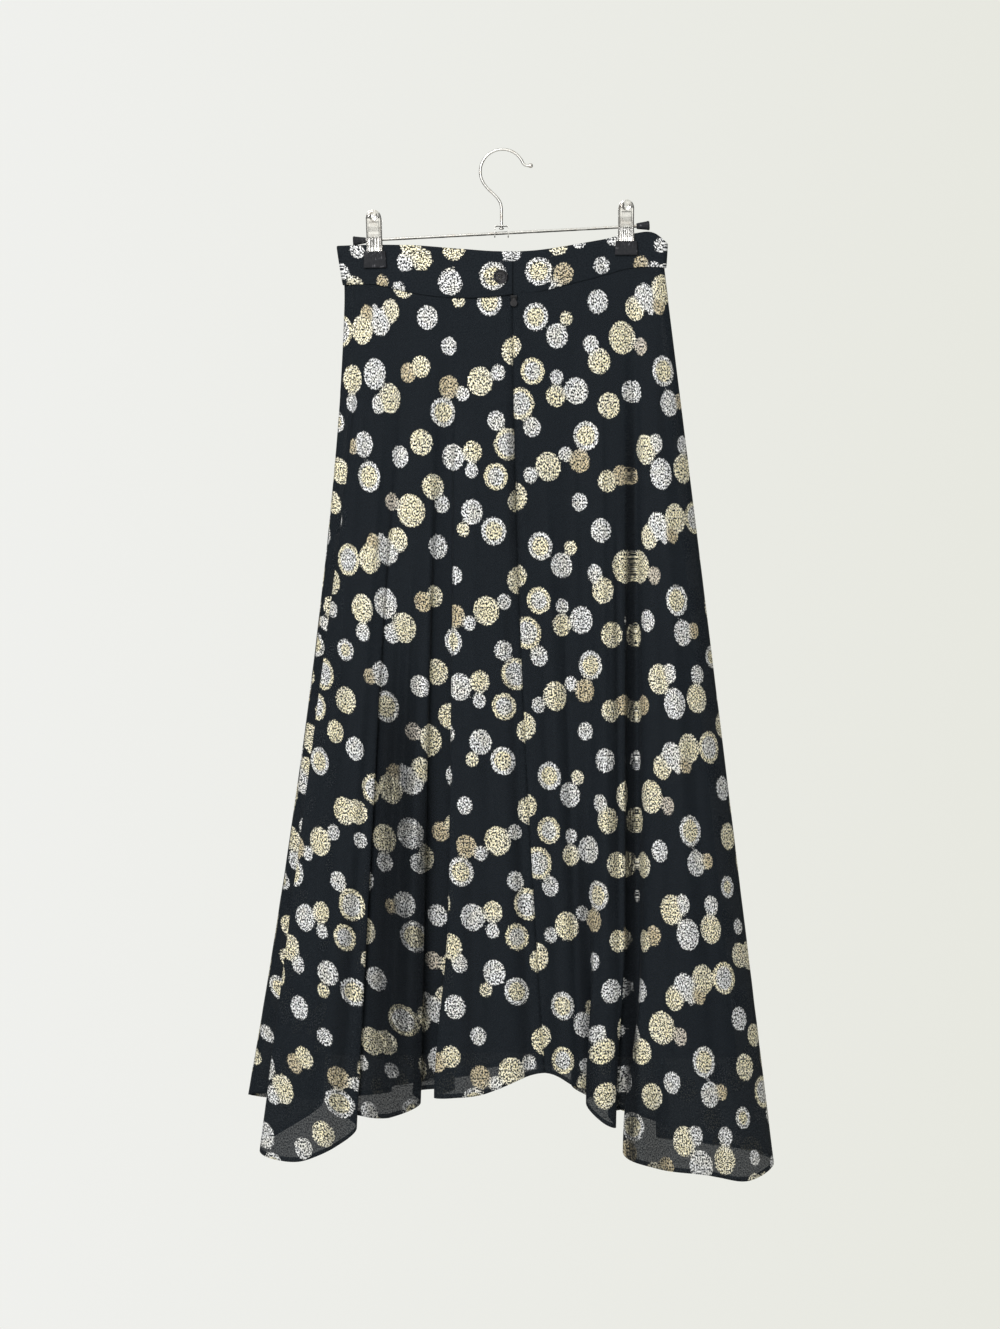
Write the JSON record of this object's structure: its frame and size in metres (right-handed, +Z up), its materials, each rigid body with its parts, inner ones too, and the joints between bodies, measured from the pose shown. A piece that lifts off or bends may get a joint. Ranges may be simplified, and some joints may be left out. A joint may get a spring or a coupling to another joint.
{
  "type": "flared chiffon midi skirt on a clip hanger",
  "caption": "Long flared skirt in spotted sheer chiffon with an opaque lining, plain waistband, button and centre zip, clipped by its band to a chrome clip hanger.",
  "frame": {"origin": "inner top of the hanger's hook, where it rests on a rod, rail or wall hook", "axes": "+Z up, -Y towards the side with the zip and the button, +X to the right of a viewer who faces that side"},
  "size_m": [0.5279, 0.068, 1.0297],
  "materials": {
    "chiffon": "semi-sheer black chiffon with scattered spots of metallic gold and silver thread",
    "lining": "opaque black, smooth, slight sheen",
    "chrome": "bright plated steel, lightly worn",
    "rubber": "matt black, scuffed",
    "button": "dark, satin, four holes",
    "zip_tape": "matt black woven tape",
    "zip_metal": "black lacquered metal"
  },
  "bodies": {
    "root": {"waistband": "chiffon", "near_left_panel": "chiffon", "near_right_panel": "chiffon", "far_panel": "chiffon", "lining_near": "lining", "lining_far": "lining", "zip_tape": "zip_tape", "zip_slider": "zip_metal", "button": "button", "hook": "chrome", "yoke": "chrome", "bar": "chrome", "cap_left": "rubber", "cap_right": "rubber", "clip_left_front_plate": "chrome", "clip_left_back_plate": "chrome", "clip_left_front_jaw": "rubber", "clip_left_back_jaw": "rubber", "clip_left_spring": "chrome", "clip_right_front_plate": "chrome", "clip_right_back_plate": "chrome", "clip_right_front_jaw": "rubber", "clip_right_back_jaw": "rubber", "clip_right_spring": "chrome"},
    "pull": {"zip_pull": "zip_metal"}
  },
  "joints": [
    {"name": "pull_swing", "type": "hinge", "parent": "root", "child": "pull", "pos_m": [0.0112, -0.01011, -0.1469], "axis": [-1, 0, 0], "range_deg": [0, 150]}
  ]
}
